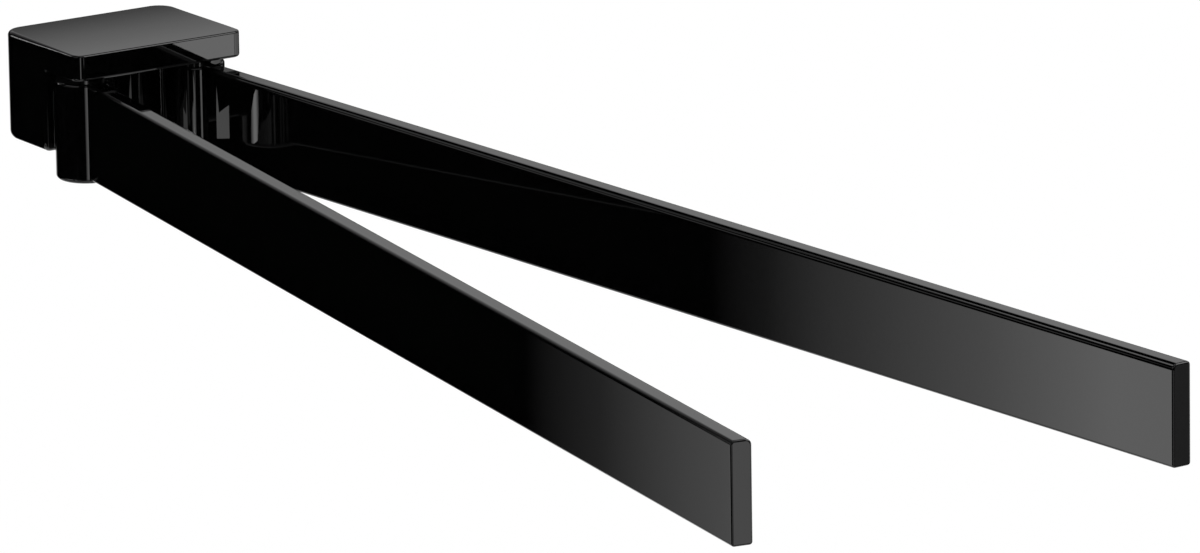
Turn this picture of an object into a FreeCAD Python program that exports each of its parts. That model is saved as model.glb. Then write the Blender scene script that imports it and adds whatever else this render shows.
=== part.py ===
import FreeCAD, Part
import math
import os

os.makedirs("parts", exist_ok=True)

# Wall-mounted towel holder with two flat arms that swing sideways.
# Millimetres. The wall is the plane y = 0, the arms point to -Y, +X is to the
# right for someone facing the wall and +Z is up. The origin is on the wall, at
# the middle of the head. Each arm turns about its own upright pivot under the
# hood of the head.

Vector = FreeCAD.Vector
UP = Vector(0, 0, 1)

# Head: a block against the wall with a hood over both pivots
head_width = 50.4
head_height = 29.2
hood_depth = 39.5
lip_height = 7.0
block_depth = 22.6
back_corner_radius = 5.5
front_corner_radius = 2.7
block_corner_radius = 1.0
hood_front_radius = 0.5
hood_back_radius = 1.25
lip_bottom_radius = 0.8
block_bottom_radius = 2.6

# Hollow at the back of the block
side_wall = 6.5
ceiling_wall = 5.0
floor_wall = 6.0
hollow_depth = 17.0
hollow_corner_radius = 1.5

# Pivots
pivot_inset = 8.95
pivot_depth = 28.6
left_splay_deg = 8.4
right_splay_deg = 4.5
neck_height = 1.8
neck_setback = 0.2
seat_clearance = 0.5

# Arms: a flat bar on edge in a round knuckle
arm_reach = 404.0
bar_height = 25.7
bar_thickness = 5.5
bar_inner_top_radius = 1.6
bar_outer_top_radius = 1.0
bar_bottom_radius = 0.8
bar_tip_radius = 0.5
knuckle_radius = 8.35
knuckle_foot = 1.0
knuckle_rim_radius = 0.8
knuckle_foot_radius = 1.2
slot_depth = 1.6
tenon_height = 11.0
tenon_length = 2.0
tenon_top_margin = 4.0
joint_gap = 0.02

# Pivot screw, inserted from below
shoulder_radius = 3.0
thread_radius = 2.5
thread_length = 6.0
thread_hole_spare = 0.8
screw_head_radius = 5.0
screw_head_height = 3.0
screw_key_across_flats = 4.0
screw_key_depth = 2.0
screw_chamfer = 0.3

# Bushes, washers and cap
running_clearance = 0.05
bush_wall = 1.0
upper_bush_length = 7.0
lower_bush_length = 6.0
bush_flange_radius = 5.7
bush_flange_thickness = 1.0
thrust_washer_setback = 0.35
thrust_washer_thickness = 0.8
friction_washer_radius = 5.7
friction_washer_thickness = 0.8
spring_washer_radius = 5.2
spring_washer_thickness = 0.5
spring_washer_dish = 0.4
washer_bore_clearance = 0.1
counterbore_radius = 6.4
cap_thickness = 1.8
cap_recess = 0.3
cap_headroom = 0.7
cap_chamfer = 0.3

# Bracket on the wall and the screw that locks the head to it
bracket_side_gap = 1.2
bracket_depth = 12.0
bracket_sheet = 2.5
bracket_top_gap = 0.02
bracket_bottom_gap = 0.3
bracket_corner_radius = 1.5
wall_screw_inset = 6.5
wall_screw_hole_radius = 2.3
wall_screw_slot_length = 8.0
set_screw_radius = 2.5
set_screw_tip_radius = 1.5
set_screw_tip_length = 1.0
set_screw_recess = 0.4
set_screw_key_across_flats = 2.5
set_screw_key_depth = 2.5
set_screw_depth = 7.0

# How far a cutting shape runs past the face that it opens
overrun = 2.0

# Widths that follow from the head
pivot_spacing = head_width - 2 * pivot_inset
bracket_width = head_width - 2 * side_wall - 2 * bracket_side_gap
wall_screw_spacing = bracket_width - 2 * wall_screw_inset

# Levels, from the top down
hood_top = head_height / 2
block_bottom = -head_height / 2
lip_bottom = hood_top - lip_height
knuckle_top = lip_bottom - neck_height
bar_bottom = knuckle_top - bar_height
knuckle_bottom = bar_bottom - knuckle_foot
thrust_washer_top = knuckle_top + thrust_washer_thickness
neck_bottom = thrust_washer_top + running_clearance
hollow_top = hood_top - ceiling_wall
hollow_bottom = block_bottom + floor_wall

# The stack under the knuckle's inner shoulder, from the cap upwards
cap_bottom = knuckle_bottom + cap_recess
cap_top = cap_bottom + cap_thickness
screw_head_bottom = cap_top + cap_headroom
screw_head_top = screw_head_bottom + screw_head_height
spring_washer_top = screw_head_top + spring_washer_thickness + spring_washer_dish
friction_washer_top = spring_washer_top + friction_washer_thickness
bush_flange_bottom = friction_washer_top + running_clearance
counterbore_top = bush_flange_bottom + bush_flange_thickness

# Radii that follow from the fits
bush_bore_radius = shoulder_radius + running_clearance
knuckle_bore_radius = bush_bore_radius + bush_wall
washer_bore_radius = shoulder_radius + washer_bore_clearance
neck_radius = knuckle_radius - neck_setback
slot_floor = knuckle_radius - slot_depth
tenon_floor = slot_floor - tenon_length


def box(low, high):
    """Block between two corners."""
    return Part.makeBox(high[0] - low[0], high[1] - low[1], high[2] - low[2], Vector(*low))


def rod(radius, bottom, top, x=0, y=0):
    """Upright cylinder between two levels."""
    return Part.makeCylinder(radius, top - bottom, Vector(x, y, bottom), UP)


def ring(outer, inner, bottom, top):
    """Upright tube between two levels."""
    return rod(outer, bottom, top).cut(rod(inner, bottom - overrun, top + overrun))


def turned(profile):
    """Solid of revolution about the Z axis from (radius, level) points."""
    points = [Vector(radius, 0, level) for radius, level in profile]
    face = Part.Face(Part.makePolygon(points + [points[0]]))
    return face.revolve(Vector(0, 0, 0), UP, 360)


def hexagon(across_flats, bottom, top):
    """Upright six-sided prism for a key socket."""
    radius = across_flats / math.sqrt(3)
    corners = [Vector(radius * math.cos(k * math.pi / 3), radius * math.sin(k * math.pi / 3), bottom)
               for k in range(6)]
    return Part.Face(Part.makePolygon(corners + [corners[0]])).extrude(Vector(0, 0, top - bottom))


def middle(edge):
    """Point halfway along an edge."""
    return edge.valueAt((edge.FirstParameter + edge.LastParameter) / 2)


def is_upright(edge):
    """Whether an edge is a straight line along Z."""
    ends = edge.Vertexes
    if len(ends) != 2:
        return False
    run = ends[1].Point - ends[0].Point
    return abs(run.z) > joint_gap and math.hypot(run.x, run.y) < joint_gap


def at_level(edge, level):
    """Whether a whole edge lies at one level."""
    box_of_edge = edge.BoundBox
    return abs(box_of_edge.ZMin - level) < joint_gap and abs(box_of_edge.ZMax - level) < joint_gap


def is_outer(edge):
    """Whether an edge of the left half shell lies off the middle plane."""
    return middle(edge).x < -joint_gap


def round_edges(shape, radius, chosen):
    """Shape with the chosen edges rounded."""
    return shape.makeFillet(radius, [edge for edge in shape.Edges if chosen(edge)])


def make_half_shell():
    """Left half of the head's outside. Its top edge is sharper at the front than at the back."""
    half = head_width / 2
    block = box((-half, -block_depth, block_bottom), (0, 0, hood_top))
    hood = box((-half, -hood_depth, lip_bottom), (0, 0, hood_top))
    shell = block.fuse(hood).removeSplitter()
    shell = round_edges(shell, back_corner_radius,
                        lambda edge: is_upright(edge) and is_outer(edge) and middle(edge).y > -joint_gap)
    shell = round_edges(shell, front_corner_radius,
                        lambda edge: is_upright(edge) and is_outer(edge)
                        and middle(edge).y < -hood_depth + joint_gap)
    shell = round_edges(shell, block_corner_radius,
                        lambda edge: is_upright(edge) and is_outer(edge)
                        and abs(middle(edge).y + block_depth) < joint_gap)
    for edge in shell.Edges:
        if at_level(edge, hood_top) and abs(middle(edge).x + half) < joint_gap:
            radii = [hood_back_radius, hood_front_radius]
            if edge.valueAt(edge.FirstParameter).y < edge.valueAt(edge.LastParameter).y:
                radii.reverse()
            shell = shell.makeFillet(radii[0], radii[1], [edge])
            break
    shell = round_edges(shell, lip_bottom_radius,
                        lambda edge: at_level(edge, lip_bottom) and is_outer(edge)
                        and middle(edge).y < -block_depth - joint_gap)
    return round_edges(shell, block_bottom_radius,
                       lambda edge: at_level(edge, block_bottom) and is_outer(edge))


def make_housing():
    """Cast head: wall block, hood, two necks, seats behind the knuckles and the hollow."""
    half = head_width / 2
    left_half = make_half_shell()
    body = left_half.fuse(left_half.mirror(Vector(0, 0, 0), Vector(1, 0, 0))).removeSplitter()
    for side in (-1, 1):
        x = side * pivot_spacing / 2
        seat = rod(knuckle_radius + seat_clearance, block_bottom - overrun, lip_bottom, x, -pivot_depth)
        body = body.cut(seat)
        body = body.fuse(rod(neck_radius, neck_bottom, lip_bottom, x, -pivot_depth))
        hole_top = neck_bottom + thread_length + thread_hole_spare
        body = body.cut(rod(thread_radius + joint_gap, neck_bottom - overrun, hole_top, x, -pivot_depth))
    inner_half = half - side_wall
    hollow = box((-inner_half, -hollow_depth, hollow_bottom), (inner_half, overrun, hollow_top))
    hollow = round_edges(hollow, hollow_corner_radius,
                         lambda edge: abs(middle(edge).y + (hollow_depth - overrun) / 2) < joint_gap)
    body = body.cut(hollow)
    body = body.cut(rod(set_screw_radius + joint_gap, block_bottom - overrun, hollow_bottom + overrun,
                        0, -set_screw_depth))
    return body.removeSplitter()


def make_wall_bracket():
    """Folded steel channel on the wall, with two slots for the wall screws."""
    half = bracket_width / 2
    top = hollow_top - bracket_top_gap
    bottom = hollow_bottom + bracket_bottom_gap
    channel = box((-half, -bracket_depth, bottom), (half, 0, top))
    channel = round_edges(channel, bracket_corner_radius,
                          lambda edge: abs(middle(edge).x) < joint_gap and middle(edge).y > -joint_gap)
    inside = box((-half - overrun, -bracket_depth - overrun, bottom + bracket_sheet),
                 (half + overrun, -bracket_sheet, top - bracket_sheet))
    channel = channel.cut(inside)
    reach = wall_screw_slot_length / 2 - wall_screw_hole_radius
    for side in (-1, 1):
        x = side * wall_screw_spacing / 2
        slot = box((x - reach, -bracket_sheet - overrun, -wall_screw_hole_radius),
                   (x + reach, overrun, wall_screw_hole_radius))
        for end in (x - reach, x + reach):
            slot = slot.fuse(Part.makeCylinder(wall_screw_hole_radius, bracket_sheet + 2 * overrun,
                                               Vector(end, -bracket_sheet - overrun, 0), Vector(0, 1, 0)))
        channel = channel.cut(slot)
    return channel


def make_set_screw():
    """Grub screw in the block's floor that presses up on the bracket."""
    bottom = block_bottom + set_screw_recess
    top = hollow_bottom + bracket_bottom_gap
    screw = turned([(0, bottom), (set_screw_radius, bottom), (set_screw_radius, top - set_screw_tip_length),
                    (set_screw_tip_radius, top), (0, top)])
    screw = screw.cut(hexagon(set_screw_key_across_flats, bottom - overrun, bottom + set_screw_key_depth))
    screw.translate(Vector(0, -set_screw_depth, 0))
    return screw


def make_bar(inner_side):
    """Flat bar on edge with rounded edges and a short tenon at its root.

    inner_side is the sign of the side that faces the other bar. Its top edge is the softest.
    """
    half = bar_thickness / 2
    bar = box((-half, -arm_reach, bar_bottom), (half, -slot_floor, knuckle_top))
    for edge_radius, side, level in ((bar_inner_top_radius, inner_side, knuckle_top),
                                     (bar_outer_top_radius, -inner_side, knuckle_top),
                                     (bar_bottom_radius, inner_side, bar_bottom),
                                     (bar_bottom_radius, -inner_side, bar_bottom)):
        bar = round_edges(bar, edge_radius,
                          lambda edge: at_level(edge, level) and middle(edge).x * side > half - joint_gap
                          and abs(middle(edge).y + (arm_reach + slot_floor) / 2) < joint_gap)
    bar = round_edges(bar, bar_tip_radius, lambda edge: edge.BoundBox.YMax < -arm_reach + joint_gap)
    return bar.fuse(tenon_block(0)).removeSplitter()


def tenon_block(gap):
    """Tenon of the bar, or with a gap the pocket that it enters."""
    half = bar_thickness / 2
    top = knuckle_top - tenon_top_margin
    return box((-half - gap, -slot_floor - gap, top - tenon_height - gap),
               (half + gap, -tenon_floor + gap, top + gap))


def make_knuckle():
    """Turned barrel with bush bore, counterbore below and a slot for the bar."""
    barrel = rod(knuckle_radius, knuckle_bottom, knuckle_top)
    barrel = round_edges(barrel, knuckle_rim_radius, lambda edge: at_level(edge, knuckle_top))
    barrel = round_edges(barrel, knuckle_foot_radius, lambda edge: at_level(edge, knuckle_bottom))
    barrel = barrel.cut(rod(knuckle_bore_radius + joint_gap, knuckle_bottom, knuckle_top + overrun))
    barrel = barrel.cut(rod(counterbore_radius, knuckle_bottom - overrun, counterbore_top))
    half = bar_thickness / 2 + joint_gap
    slot = box((-half, -knuckle_radius - overrun, bar_bottom - joint_gap),
               (half, -slot_floor + joint_gap, knuckle_top + overrun))
    return barrel.cut(slot).cut(tenon_block(joint_gap))


def make_upper_bush():
    """Plain plastic bush in the top of the knuckle."""
    return ring(knuckle_bore_radius, bush_bore_radius, knuckle_top - upper_bush_length, knuckle_top)


def make_lower_bush():
    """Flanged plastic bush against the knuckle's inner shoulder."""
    sleeve = rod(knuckle_bore_radius, counterbore_top, counterbore_top + lower_bush_length)
    flange = rod(bush_flange_radius, bush_flange_bottom, counterbore_top)
    bore = rod(bush_bore_radius, bush_flange_bottom - overrun, counterbore_top + lower_bush_length + overrun)
    return sleeve.fuse(flange).removeSplitter().cut(bore)


def make_thrust_washer():
    """Plastic washer between the neck and the knuckle."""
    return ring(knuckle_radius - thrust_washer_setback, washer_bore_radius, knuckle_top, thrust_washer_top)


def make_friction_washer():
    """Steel washer that the lower bush turns on."""
    return ring(friction_washer_radius, washer_bore_radius, spring_washer_top, friction_washer_top)


def make_spring_washer():
    """Dished steel washer that loads the pivot, so the arm stays where it is put."""
    low = screw_head_top
    inner = washer_bore_radius
    outer = spring_washer_radius
    return turned([(inner, low), (inner, low + spring_washer_thickness), (outer, spring_washer_top),
                   (outer, spring_washer_top - spring_washer_thickness)])


def make_pivot_screw():
    """Shoulder screw: socket head at the bottom, plain shoulder, thread in the hood."""
    thread_top = neck_bottom + thread_length
    head_rim = screw_head_radius - screw_chamfer
    thread_tip = thread_radius - screw_chamfer
    screw = turned([(0, screw_head_bottom), (head_rim, screw_head_bottom),
                    (screw_head_radius, screw_head_bottom + screw_chamfer),
                    (screw_head_radius, screw_head_top), (shoulder_radius, screw_head_top),
                    (shoulder_radius, neck_bottom), (thread_radius, neck_bottom),
                    (thread_radius, thread_top - screw_chamfer), (thread_tip, thread_top), (0, thread_top)])
    return screw.cut(hexagon(screw_key_across_flats, screw_head_bottom - overrun,
                             screw_head_bottom + screw_key_depth))


def make_bottom_cap():
    """Pressed disc that closes the knuckle from below."""
    radius = counterbore_radius - joint_gap
    return turned([(0, cap_bottom), (radius - cap_chamfer, cap_bottom), (radius, cap_bottom + cap_chamfer),
                   (radius, cap_top), (0, cap_top)])


arm_pieces = {
    "knuckle": make_knuckle(),
    "upper_bush": make_upper_bush(),
    "lower_bush": make_lower_bush(),
    "thrust_washer": make_thrust_washer(),
    "friction_washer": make_friction_washer(),
    "spring_washer": make_spring_washer(),
    "pivot_screw": make_pivot_screw(),
    "bottom_cap": make_bottom_cap(),
}

nodes = {
    "housing": make_housing(),
    "wall_bracket": make_wall_bracket(),
    "set_screw": make_set_screw(),
}
for side_name, side, splay_deg in (("left", -1, left_splay_deg), ("right", 1, right_splay_deg)):
    pieces = {"bar": make_bar(-side), **arm_pieces}
    for piece_name, piece in pieces.items():
        placed = piece.copy()
        placed.rotate(Vector(0, 0, 0), UP, side * splay_deg)
        placed.translate(Vector(side * pivot_spacing / 2, -pivot_depth, 0))
        nodes[side_name + "_" + piece_name] = placed

for node_name, shape in nodes.items():
    shape.exportStep("parts/" + node_name + ".step")
    print(node_name, "solids", len(shape.Solids), "volume", round(shape.Volume, 1), "valid", shape.isValid())
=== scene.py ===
import itertools
import math
import bmesh
import bpy
from mathutils import Matrix, Vector

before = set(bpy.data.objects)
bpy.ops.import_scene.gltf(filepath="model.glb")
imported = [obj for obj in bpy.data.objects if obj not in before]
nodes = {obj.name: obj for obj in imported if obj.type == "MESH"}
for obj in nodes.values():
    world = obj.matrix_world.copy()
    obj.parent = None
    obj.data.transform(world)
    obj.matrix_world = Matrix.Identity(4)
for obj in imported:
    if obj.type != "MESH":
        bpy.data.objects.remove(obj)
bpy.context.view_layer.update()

scene = bpy.context.scene


# Camera. A long lens from the front left and a little above, as in the photograph. It
# aims at a point between the arms, half way out, and is then turned so that this point
# falls where the photograph has it.
AZIMUTH = math.radians(-32.15)
ELEVATION = math.radians(14.282)
ROLL = math.radians(-0.971)
FOCAL_PIXELS = 12750.1
SENSOR_WIDTH = 36
DISTANCE = 3.18395
AIM = Vector((0, -0.2086, 0))
AIM_PIXEL = (508.88, 227.98)
PHOTO_SIZE = (1200, 553)

toward_camera = Vector((math.sin(AZIMUTH) * math.cos(ELEVATION),
                        -math.cos(AZIMUTH) * math.cos(ELEVATION), math.sin(ELEVATION)))
level_right = Vector((math.cos(AZIMUTH), math.sin(AZIMUTH), 0))
level_up = toward_camera.cross(level_right)
image_right = level_right * math.cos(ROLL) + level_up * math.sin(ROLL)
image_up = level_up * math.cos(ROLL) - level_right * math.sin(ROLL)
sight = (-toward_camera * FOCAL_PIXELS + image_right * (PHOTO_SIZE[0] / 2 - AIM_PIXEL[0])
         - image_up * (PHOTO_SIZE[1] / 2 - AIM_PIXEL[1])).normalized()
camera_right = (image_right - sight * image_right.dot(sight)).normalized()
camera_up = camera_right.cross(sight)
camera = bpy.data.objects.new("camera", bpy.data.cameras.new("camera"))
camera.data.lens = FOCAL_PIXELS / PHOTO_SIZE[0] * SENSOR_WIDTH
camera.data.sensor_width = SENSOR_WIDTH
camera.data.clip_start = 0.1
camera.data.clip_end = 50
camera.matrix_world = Matrix.Translation(AIM + toward_camera * DISTANCE) @ Matrix(
    (camera_right, camera_up, -sight)).transposed().to_4x4()
scene.collection.objects.link(camera)
scene.camera = camera
scene.view_settings.view_transform = "Standard"


# Floor and room. A matt white floor well below the holder, in a plain white room whose
# light is even and soft. The floor is clear from below, so that it hides nothing from
# there, and the gloss doesn't mirror it.
FLOOR_LEVEL = -0.6
FLOOR_HALF = 4
WHITE = (1, 1, 1, 1)

world = bpy.data.worlds.new("white_room")
scene.world = world
world.use_nodes = True
room_light = world.node_tree.nodes["Background"]
room_light.inputs["Color"].default_value = WHITE
room_light.inputs["Strength"].default_value = 1


def stage_object(name, form, material, gloss_only):
    """Mesh of the studio from a bmesh, not part of the holder."""
    mesh = bpy.data.meshes.new(name)
    form.to_mesh(mesh)
    form.free()
    mesh.materials.append(material)
    prop = bpy.data.objects.new(name, mesh)
    scene.collection.objects.link(prop)
    if gloss_only:
        prop.visible_camera = False
        prop.visible_diffuse = False
        prop.visible_transmission = False
        prop.visible_shadow = False
    return prop


floor_white = bpy.data.materials.new("floor_white")
floor_white.use_nodes = True
floor_tree = floor_white.node_tree
floor_tree.nodes.clear()
floor_matt = floor_tree.nodes.new("ShaderNodeBsdfDiffuse")
floor_matt.inputs["Color"].default_value = WHITE
floor_clear = floor_tree.nodes.new("ShaderNodeBsdfTransparent")
floor_side = floor_tree.nodes.new("ShaderNodeNewGeometry")
floor_mix = floor_tree.nodes.new("ShaderNodeMixShader")
floor_out = floor_tree.nodes.new("ShaderNodeOutputMaterial")
floor_tree.links.new(floor_side.outputs["Backfacing"], floor_mix.inputs["Fac"])
floor_tree.links.new(floor_matt.outputs[0], floor_mix.inputs[1])
floor_tree.links.new(floor_clear.outputs[0], floor_mix.inputs[2])
floor_tree.links.new(floor_mix.outputs[0], floor_out.inputs["Surface"])
form = bmesh.new()
bmesh.ops.create_grid(form, x_segments=1, y_segments=1, size=FLOOR_HALF)
bmesh.ops.translate(form, verts=form.verts, vec=(0, 0, FLOOR_LEVEL))
floor = stage_object("floor", form, floor_white, gloss_only=False)
floor.visible_glossy = False


# Black tent and light panels. Gloss black paint shows nothing but what it mirrors, so
# the holder stands in a black tent with white panels round it. Only the gloss sees
# them, and a panel fades along the axes that its steps name.
TENT_RADIUS = 8
FRONT = -1.2
BACK = 1.2


def feed(tree, socket, value):
    """Give a node's input a number, or link it to another node's output."""
    if isinstance(value, bpy.types.NodeSocket):
        tree.links.new(value, socket)
    else:
        socket.default_value = value


def ranged(tree, value, from_range, to_range=(0, 1)):
    """The value moved from one range to another, and kept inside it."""
    node = tree.nodes.new("ShaderNodeMapRange")
    feed(tree, node.inputs["Value"], value)
    node.inputs["From Min"].default_value, node.inputs["From Max"].default_value = from_range
    feed(tree, node.inputs["To Min"], to_range[0])
    feed(tree, node.inputs["To Max"], to_range[1])
    return node.outputs["Result"]


def stepped(tree, place, steps):
    """Grey level along one axis, from its steps (place in metres, level)."""
    first, last = steps[0][0], steps[-1][0]
    ramp = tree.nodes.new("ShaderNodeValToRGB")
    while len(ramp.color_ramp.elements) < len(steps):
        ramp.color_ramp.elements.new(0.5)
    for element, (spot, level) in zip(ramp.color_ramp.elements, steps):
        element.position = (spot - first) / (last - first)
        element.color = (level, level, level, 1)
    feed(tree, ramp.inputs["Fac"], ranged(tree, place, (first, last)))
    return ramp.outputs["Color"]


def glow(name, strength, fades):
    """Light of a panel. fades gives an axis its steps, and two axes are multiplied."""
    material = bpy.data.materials.new(name)
    material.use_nodes = True
    tree = material.node_tree
    tree.nodes.clear()
    lamp = tree.nodes.new("ShaderNodeEmission")
    lamp.inputs["Color"].default_value = WHITE
    lamp.inputs["Strength"].default_value = strength
    out = tree.nodes.new("ShaderNodeOutputMaterial")
    tree.links.new(lamp.outputs[0], out.inputs["Surface"])
    place = tree.nodes.new("ShaderNodeTexCoord")
    axes = tree.nodes.new("ShaderNodeSeparateXYZ")
    tree.links.new(place.outputs["Object"], axes.inputs[0])
    light = None
    for axis, steps in fades.items():
        level = stepped(tree, axes.outputs[axis.upper()], steps)
        if light is None:
            light = level
        else:
            both = tree.nodes.new("ShaderNodeVectorMath")
            both.operation = "MULTIPLY"
            tree.links.new(light, both.inputs[0])
            tree.links.new(level, both.inputs[1])
            light = both.outputs["Vector"]
    if light is not None:
        tree.links.new(light, lamp.inputs["Color"])
    return material


def light_panel(name, corners, strength, fades):
    """Flat panel with these corners in order."""
    form = bmesh.new()
    bmesh.ops.contextual_create(form, geom=[form.verts.new(corner) for corner in corners])
    stage_object(name, form, glow(name, strength, fades), gloss_only=True)


def upright(y, outline):
    """Corners of a panel across the y axis, from its outline in x and z."""
    return [(x, y, z) for x, z in outline]


def rectangle(x, y, z):
    """Corners of a panel. Two of x, y and z are (low, high), and one is the plane it is in."""
    places = [place if isinstance(place, tuple) else (place,) for place in (x, y, z)]
    low_low, low_high, high_low, high_high = itertools.product(*places)
    return [low_low, high_low, high_high, low_high]


form = bmesh.new()
bmesh.ops.create_icosphere(form, subdivisions=3, radius=TENT_RADIUS)
stage_object("black_tent", form, glow("black_tent", strength=0, fades={}), gloss_only=True)

# Beside the near arm: its outer face from the middle to the tip.
light_panel("near_arm_panel",
            upright(y=-0.080, outline=((-0.125, -0.036), (-0.177, -0.075), (-0.34, -0.112),
                                       (-0.34, -0.30), (-0.125, -0.30))),
            strength=1.7,
            fades={"x": [(-0.34, 1), (-0.292, 1), (-0.274, 1), (-0.224, 0.55), (-0.177, 0.265),
                         (-0.168, 0.22), (-0.145, 0.065), (-0.130, 0.018), (-0.125, 0)]})
# Behind the wall plate: the tops of both arms and of the head.
light_panel("back_panel",
            upright(y=0.100, outline=((0.033, 0.040), (0.43, 0.010), (0.43, 0.185), (0.257, 0.185),
                                      (0.160, 0.120), (0.112, 0.090), (0.033, 0.062))),
            strength=0.6,
            fades={"z": [(0.036, 0), (0.041, 0.2), (0.0476, 0.58), (0.0526, 0.80), (0.087, 0.92),
                         (0.12, 1), (0.185, 1)]})
# In front and low, from left to right: the near knuckle, thin lines on the far knuckle,
# the near arm's end, the lip of the hood and the far arm's end.
light_panel("front_left_panel", rectangle(x=(-0.88, -0.54), y=FRONT, z=(-0.5, -0.15)),
            strength=2.0, fades={"x": [(-0.88, 0), (-0.76, 0.6), (-0.68, 1), (-0.58, 1),
                                       (-0.54, 0)]})
light_panel("front_lines", rectangle(x=(-0.52, 0.06), y=FRONT, z=(-0.5, -0.15)),
            strength=2.4, fades={"x": [(-0.52, 0), (-0.50, 0.6), (-0.47, 0), (-0.12, 0),
                                       (-0.10, 0.7), (-0.04, 0.7), (-0.02, 0), (0.06, 0)]})
light_panel("near_end_panel", rectangle(x=(0.08, 0.20), y=FRONT, z=(-0.36, -0.16)),
            strength=1.5, fades={"x": [(0.08, 0), (0.12, 1), (0.16, 1), (0.20, 0)]})
light_panel("lip_panel", rectangle(x=(0.60, 0.765), y=FRONT, z=(-0.45, -0.25)),
            strength=3.0, fades={"x": [(0.60, 0), (0.64, 1), (0.745, 1), (0.765, 0.3)]})
light_panel("far_end_panel", rectangle(x=(0.77, 0.90), y=FRONT, z=(-0.45, -0.20)),
            strength=0.3, fades={"x": [(0.77, 1), (0.84, 0.7), (0.90, 0)]})
# A black card close to the head keeps the front panels off the block's left corner.
light_panel("corner_card", rectangle(x=(-0.065, -0.027), y=-0.034, z=(-0.055, 0.004)),
            strength=0, fades={})
# Glowing slips between the arms, which only the gloss sees, make a painted reflection: the soft
# streaks on the far bar by the head. The first one ends in a point, which is a panel of its own.
light_panel("painted_streak_by_knuckle",
            upright(y=-0.036, outline=((0.0046, -0.0152), (0.0089, -0.0145), (0.0089, -0.0080),
                                       (0.0046, -0.0062))),
            strength=0.8, fades={})
light_panel("painted_streak_point",
            upright(y=-0.036, outline=((0.0080, -0.0079), (0.0089, -0.0080), (0.0087, -0.0004))),
            strength=0.8, fades={})
light_panel("painted_streak_in_front",
            upright(y=-0.048, outline=((0.0051, -0.0136), (0.0063, -0.0142), (0.0074, -0.0139),
                                       (0.0070, -0.0053), (0.0060, -0.0010), (0.0046, 0.0016),
                                       (0.0044, -0.0053))),
            strength=1.7, fades={"x": [(0.0044, 0), (0.0055, 1), (0.0061, 1), (0.0074, 0)]})
# In front, high and to the right: the outer top edges of the arms.
light_panel("front_high_panel",
            ((0.375, -1.35, 0.51), (1.125, -0.90, 0.375), (1.125, -0.225, 1.125),
             (0.30, -0.30, 1.35)),
            strength=3.0, fades={})
# Behind and high: the near arm's outer top edge fades down its rounding, and two thin
# lines run along the far arm's inner top edge.
light_panel("back_high_panel", rectangle(x=(-0.62, 1.2), y=BACK, z=(0.26, 0.92)),
            strength=0.55,
            fades={"x": [(-0.62, 0), (-0.45, 0.1), (-0.26, 0.28), (0.14, 0.63), (0.44, 0.9),
                         (0.72, 1), (1.2, 1)],
                   "z": [(0.26, 0), (0.42, 1), (0.86, 1), (0.92, 0)]})
light_panel("back_line_high", rectangle(x=(-0.95, -0.35), y=BACK, z=(0.82, 1.5)),
            strength=1.6, fades={"z": [(0.82, 0.3), (1.0, 0.27), (1.1, 0.12), (1.2, 0.14),
                                       (1.28, 0.5), (1.36, 1), (1.5, 1)]})
light_panel("back_line_low", rectangle(x=(-1.6, -1.0), y=BACK, z=(0.22, 0.62)),
            strength=0.45, fades={"z": [(0.22, 0), (0.3, 1), (0.55, 1), (0.62, 0)]})
light_panel("back_left_panel", rectangle(x=(-1.0, -0.65), y=BACK, z=(0.05, 0.40)),
            strength=3.5, fades={"x": [(-1.0, 1), (-0.78, 1), (-0.65, 0)]})


# Soft boxes further round. They give the sides, the back and the underside something to
# mirror in views from there. From the front left the paint mirrors none of them.
BOX_REACH = 1.3
OVER_FLOOR = -0.55


def soft_box(name, strength, fading, **places):
    """Large panel that fades to nothing at both edges along one axis."""
    low_edge, high_edge = places[fading]
    third = (high_edge - low_edge) / 3
    light_panel(name, rectangle(**places), strength,
                fades={fading: [(low_edge, 0), (low_edge + third, 1), (high_edge - third, 1),
                                (high_edge, 0)]})


light_panel("right_low_box", rectangle(x=BOX_REACH, y=(-1.5, 0.6), z=(-0.75, -0.08)),
            strength=2.0,
            fades={"z": [(-0.75, 0), (-0.55, 1), (-0.2, 1), (-0.08, 0)],
                   "y": [(-1.5, 1), (-1.3, 1), (-0.78, 0.7), (-0.04, 0.4), (0.3, 0.1), (0.6, 0)]})
soft_box("right_high_box", strength=0.9, fading="z", x=BOX_REACH, y=(-0.5, 1.0), z=(0.45, 1.1))
soft_box("back_low_box", strength=1.2, fading="x", x=(-0.12, 1.1), y=BOX_REACH, z=(-0.75, -0.08))
soft_box("left_low_box", strength=1.2, fading="y", x=-BOX_REACH, y=(-1.0, 1.0), z=(-1.1, -0.50))
soft_box("left_level_box", strength=0.8, fading="z", x=-BOX_REACH, y=(-0.8, 0.6), z=(-0.20, -0.03))
soft_box("left_high_box", strength=0.9, fading="z", x=-BOX_REACH, y=(-0.9, 0.5), z=(0.30, 1.1))
soft_box("front_low_box", strength=1.0, fading="x", x=(-0.9, 0.55), y=-BOX_REACH, z=(-1.1, -0.55))
soft_box("front_high_box", strength=0.9, fading="z", x=(-0.9, 0.25), y=-BOX_REACH, z=(0.35, 1.1))
soft_box("overhead_box", strength=1.0, fading="x", x=(-0.6, 0.5), y=(-0.9, 0.5), z=BOX_REACH)
soft_box("underneath_box", strength=0.7, fading="x", x=(-0.8, 0.8), y=(-1.1, 0.8), z=OVER_FLOOR)


# Wall bracket. A channel folded from zinc-plated sheet steel, screwed to the wall
# through its two slots. The rolling of the sheet left a fine grain that runs across it.
STEEL_IOR = 1.5
GRAIN_RELIEF = (0.4, 0.00001)


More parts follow.
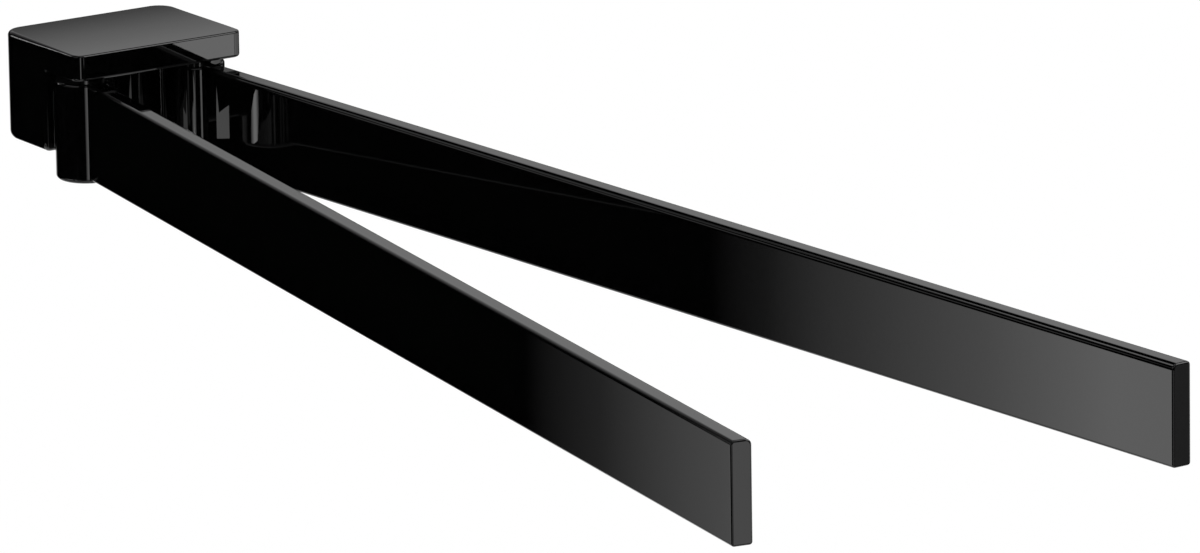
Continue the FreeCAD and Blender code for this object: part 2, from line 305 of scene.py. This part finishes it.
def finish_group(name, inputs, outputs):
    """Node group whose inputs are a place and numbers, and whose outputs are numbers."""
    group = bpy.data.node_groups.new(name, "ShaderNodeTree")
    group.interface.new_socket("Place", in_out="INPUT", socket_type="NodeSocketVector")
    for number in inputs:
        group.interface.new_socket(number, in_out="INPUT", socket_type="NodeSocketFloat")
    for number in outputs:
        group.interface.new_socket(number, in_out="OUTPUT", socket_type="NodeSocketFloat")
    given = group.nodes.new("NodeGroupInput")
    result = group.nodes.new("NodeGroupOutput")
    return group, given.outputs, result.inputs


def noise(tree, place, scale, detail, roughness=0.5):
    """Soft random levels round 0.5, with scale lumps to a metre of the place."""
    node = tree.nodes.new("ShaderNodeTexNoise")
    feed(tree, node.inputs["Vector"], place)
    feed(tree, node.inputs["Scale"], scale)
    node.inputs["Detail"].default_value = detail
    node.inputs["Roughness"].default_value = roughness
    return node.outputs["Fac"]


def steel_grain_group():
    """Fine parallel scratches. Place is scaled so that the scratches run along its first axis."""
    group, given, result = finish_group("steel_grain", ("Smoothest", "Roughest"),
                                        ("Shade", "Roughness", "Height"))
    scratches = noise(group, given["Place"], scale=1, detail=3, roughness=0.6)
    clouds = noise(group, given["Place"], scale=0.05, detail=2)
    feed(group, result["Shade"], ranged(group, clouds, (0.3, 0.7), (0.82, 1.0)))
    feed(group, result["Roughness"],
         ranged(group, scratches, (0, 1), (given["Smoothest"], given["Roughest"])))
    feed(group, result["Height"], scratches)
    return group


def new_finish(name):
    """Material with its node tree and the place on the surface."""
    material = bpy.data.materials.new(name)
    material.use_nodes = True
    place = material.node_tree.nodes.new("ShaderNodeTexCoord")
    return material, material.node_tree, place.outputs["Object"]


def complete(material, colour, shade, roughness, height, metallic, ior, relief):
    """Shader of a finish. relief is how strong its bumps are and their depth in metres."""
    tree = material.node_tree
    shader = tree.nodes["Principled BSDF"]
    shader.inputs["Metallic"].default_value = metallic
    shader.inputs["IOR"].default_value = ior
    tint = tree.nodes.new("ShaderNodeVectorMath")
    tint.operation = "SCALE"
    tint.inputs[0].default_value = colour
    feed(tree, tint.inputs["Scale"], shade)
    feed(tree, shader.inputs["Base Color"], tint.outputs["Vector"])
    feed(tree, shader.inputs["Roughness"], roughness)
    bump = tree.nodes.new("ShaderNodeBump")
    bump.inputs["Strength"].default_value, bump.inputs["Distance"].default_value = relief
    feed(tree, bump.inputs["Height"], height)
    feed(tree, shader.inputs["Normal"], bump.outputs["Normal"])
    return material


steel_grain = steel_grain_group()


def steel(name, colour, roughness, grain, lay=None):
    """Steel with so many grain lines to a metre along each axis of its lay.

    roughness is that of its smoothest and of its roughest lines."""
    material, tree, place = new_finish(name)
    if lay:
        place = lay(tree, place)
    scaled = tree.nodes.new("ShaderNodeMapping")
    scaled.inputs["Scale"].default_value = grain
    feed(tree, scaled.inputs["Vector"], place)
    lines = tree.nodes.new("ShaderNodeGroup")
    lines.node_tree = steel_grain
    feed(tree, lines.inputs["Place"], scaled.outputs["Vector"])
    lines.inputs["Smoothest"].default_value, lines.inputs["Roughest"].default_value = roughness
    return complete(material, colour, lines.outputs["Shade"], lines.outputs["Roughness"],
                    lines.outputs["Height"], metallic=1, ior=STEEL_IOR, relief=GRAIN_RELIEF)


def wear(material, *names):
    """Give these CAD solids the material."""
    for name in names:
        nodes[name].data.materials.clear()
        nodes[name].data.materials.append(material)


wear(steel("bracket_steel", colour=(0.56, 0.57, 0.58), roughness=(0.26, 0.42),
           grain=(40, 1600, 1600)),
     "wall_bracket")


# Housing. A zinc die casting with a flat hood over a smaller block, open at the back
# for the bracket. It is sprayed gloss black and baked, so it has the faint waves and
# the fine orange peel of thick paint.
PAINT_BLACK = (0.0011, 0.0011, 0.0012)
PAINT_ROUGHNESS = (0.022, 0.040)
PAINT_IOR = 1.5
PAINT_DEPTH = 0.0000012
WAVES_OVER_PEEL = 4


def maths(tree, operation, *values):
    """Result of one calculation on numbers or on outputs of other nodes."""
    node = tree.nodes.new("ShaderNodeMath")
    node.operation = operation
    for socket, value in zip(node.inputs, values):
        feed(tree, socket, value)
    return node.outputs[0]


def paint_skin_group():
    """Orange peel and slow waves of sprayed paint, its haze and its depth of colour."""
    group, given, result = finish_group("paint_skin", ("Peel Size", "Clearest", "Haziest"),
                                        ("Depth", "Haze", "Height"))
    peel_scale = maths(group, "DIVIDE", 1, given["Peel Size"])
    peel = noise(group, given["Place"], scale=peel_scale, detail=1)
    waves = noise(group, given["Place"], scale=70, detail=1)
    clouds = noise(group, given["Place"], scale=35, detail=3)
    feed(group, result["Depth"], ranged(group, peel, (0.35, 0.65), (0.4, 1)))
    feed(group, result["Haze"],
         ranged(group, clouds, (0.3, 0.7), (given["Clearest"], given["Haziest"])))
    feed(group, result["Height"], maths(group, "MULTIPLY_ADD", waves, WAVES_OVER_PEEL, peel))
    return group


paint_skin = paint_skin_group()


def black_paint(name, colour, roughness, peel_size, skin_depth, turn):
    """Sprayed black. peel_size and skin_depth are in metres, and turn gives each piece its
    own part of the pattern."""
    material, tree, place = new_finish(name)
    turned = tree.nodes.new("ShaderNodeMapping")
    turned.inputs["Rotation"].default_value = turn
    feed(tree, turned.inputs["Vector"], place)
    skin = tree.nodes.new("ShaderNodeGroup")
    skin.node_tree = paint_skin
    feed(tree, skin.inputs["Place"], turned.outputs["Vector"])
    skin.inputs["Peel Size"].default_value = peel_size
    skin.inputs["Clearest"].default_value, skin.inputs["Haziest"].default_value = roughness
    return complete(material, colour, skin.outputs["Depth"], skin.outputs["Haze"],
                    skin.outputs["Height"], metallic=0, ior=PAINT_IOR, relief=(1, skin_depth))


wear(black_paint("head_black", PAINT_BLACK, PAINT_ROUGHNESS, peel_size=0.0012,
                 skin_depth=PAINT_DEPTH, turn=(0.1, 0.2, 0)),
     "housing")


# Set screw and pivot screws. All are turned from stainless steel, which leaves fine
# rings. The set screw presses up on the bracket from the floor of the block, and the
# pivot screws carry the knuckles from below and are driven into the hood.
PIVOT = (0.01625, -0.0286, 0)


def rings_round_pivots(tree, place):
    """Place whose second axis is the distance from the nearer upright pivot."""
    apart = tree.nodes.new("ShaderNodeSeparateXYZ")
    feed(tree, apart.inputs[0], place)
    one_side = tree.nodes.new("ShaderNodeCombineXYZ")
    feed(tree, one_side.inputs["X"], maths(tree, "ABSOLUTE", apart.outputs["X"]))
    feed(tree, one_side.inputs["Y"], apart.outputs["Y"])
    distance = tree.nodes.new("ShaderNodeVectorMath")
    distance.operation = "DISTANCE"
    feed(tree, distance.inputs[0], one_side.outputs[0])
    feed(tree, distance.inputs[1], PIVOT)
    rings = tree.nodes.new("ShaderNodeCombineXYZ")
    feed(tree, rings.inputs["Y"], distance.outputs["Value"])
    feed(tree, rings.inputs["Z"], apart.outputs["Z"])
    return rings.outputs[0]


wear(steel("screw_steel", colour=(0.42, 0.42, 0.43), roughness=(0.20, 0.34), grain=(1, 5000, 900),
           lay=rings_round_pivots),
     "set_screw", "left_pivot_screw", "right_pivot_screw")


# Bushes. A plain ring in the top of each knuckle and a flanged ring below it, moulded in
# natural acetal, the milky plastic that runs on steel without grease.
ACETAL_IOR = 1.48
MOULD_RELIEF = (0.5, 0.00001)


def moulded(name, colour, roughness, speckle):
    """Moulded plastic with the fine texture of its mould, in speckle lumps to a metre."""
    material, tree, place = new_finish(name)
    sparks = noise(tree, place, scale=speckle, detail=2)
    clouds = noise(tree, place, scale=150, detail=2)
    return complete(material, colour, ranged(tree, clouds, (0, 1), (0.88, 1)),
                    ranged(tree, sparks, (0, 1), roughness), sparks,
                    metallic=0, ior=ACETAL_IOR, relief=MOULD_RELIEF)


wear(moulded("bush_plastic", colour=(0.74, 0.73, 0.69), roughness=(0.34, 0.52), speckle=2500),
     "left_upper_bush", "left_lower_bush", "right_upper_bush", "right_lower_bush")


# Washers. A polished disc of black acetal between each knuckle and its neck under the
# hood, a stamped steel disc that the lower bush turns on, and a dished steel spring
# washer under that, on the head of the pivot screw.
wear(moulded("washer_plastic", colour=(0.002, 0.002, 0.002), roughness=(0.06, 0.10), speckle=2200),
     "left_thrust_washer", "right_thrust_washer")
wear(steel("washer_steel", colour=(0.60, 0.59, 0.57), roughness=(0.24, 0.40), grain=(1, 4000, 700),
           lay=rings_round_pivots),
     "left_friction_washer", "right_friction_washer", "left_spring_washer", "right_spring_washer")


# Knuckles. Barrels turned from brass, which hang under the hood on the pivot screws and
# are painted together with their bars.
wear(black_paint("knuckle_black", PAINT_BLACK, PAINT_ROUGHNESS, peel_size=0.0012,
                 skin_depth=PAINT_DEPTH, turn=(0.4, 0.1, 0.3)),
     "left_knuckle", "right_knuckle")


# Bottom caps. Pressed discs with a satin black coat, pushed into the knuckles from
# below to hide the heads of the pivot screws.
wear(black_paint("cap_black", colour=(0.006, 0.006, 0.006), roughness=(0.26, 0.38),
                 peel_size=0.0006, skin_depth=0.000004, turn=(0, 0, 0.5)),
     "left_bottom_cap", "right_bottom_cap")


# Bars. Flat metal bars on edge with rounded edges, brazed into slots of the knuckles
# and sprayed in the same gloss black.
wear(black_paint("bar_black", PAINT_BLACK, PAINT_ROUGHNESS, peel_size=0.0013,
                 skin_depth=PAINT_DEPTH, turn=(0.2, 0, 0.1)),
     "left_bar", "right_bar")
